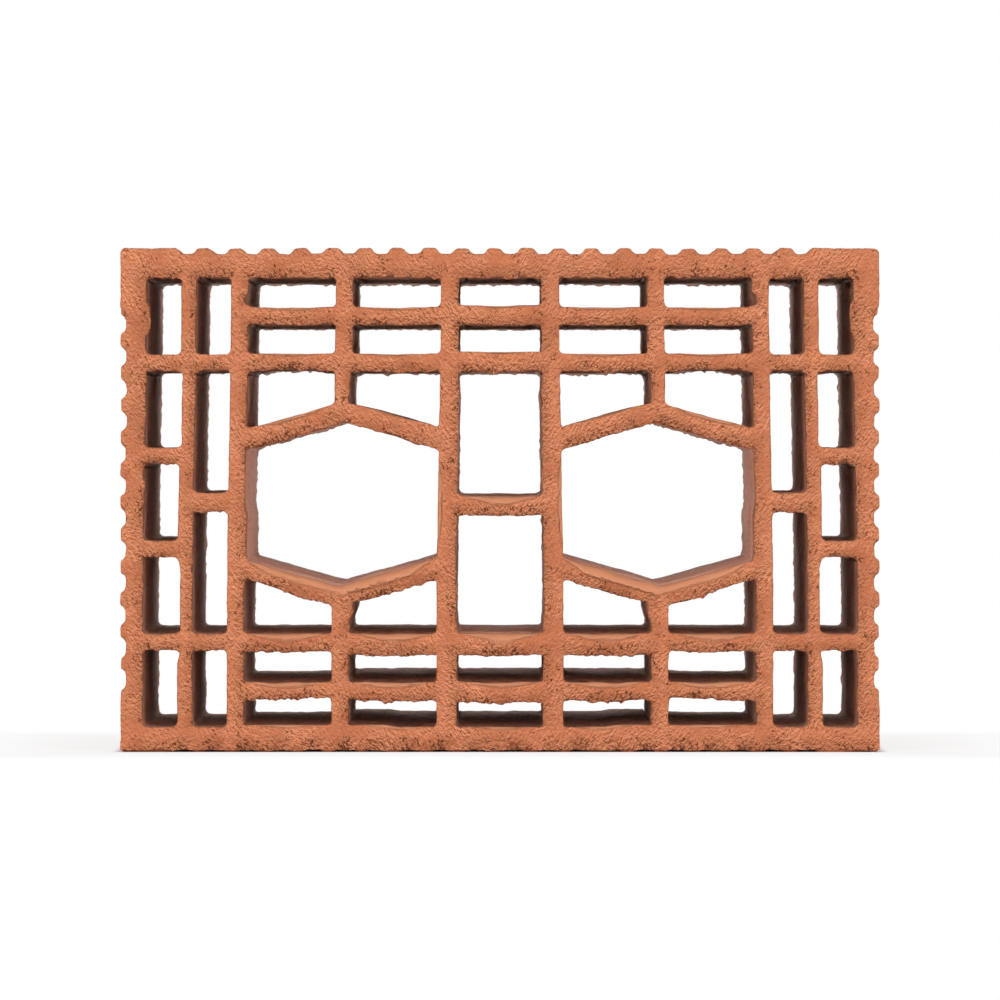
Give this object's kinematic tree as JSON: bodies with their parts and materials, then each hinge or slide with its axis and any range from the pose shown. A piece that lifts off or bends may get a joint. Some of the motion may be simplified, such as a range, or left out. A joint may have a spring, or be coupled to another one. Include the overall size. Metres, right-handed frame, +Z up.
{
  "type": "clay brick",
  "caption": "Fired hollow clay building block, extruded with rectangular, wedge-shaped and six-sided through cells between thin webs, and with keying ribs around its outside.",
  "frame": {"origin": "centre of the underside, on the floor that the block stands on", "axes": "+X along the length, +Z up as it stands, the cells run along Y; the face in the picture is at -Y"},
  "size_m": [0.29, 0.19, 0.1925],
  "materials": {
    "fired_clay": "matt fired terracotta, wire-cut and ragged on the two perforated faces"
  },
  "bodies": {
    "root": {"clay_brick": "fired_clay"}
  },
  "joints": []
}
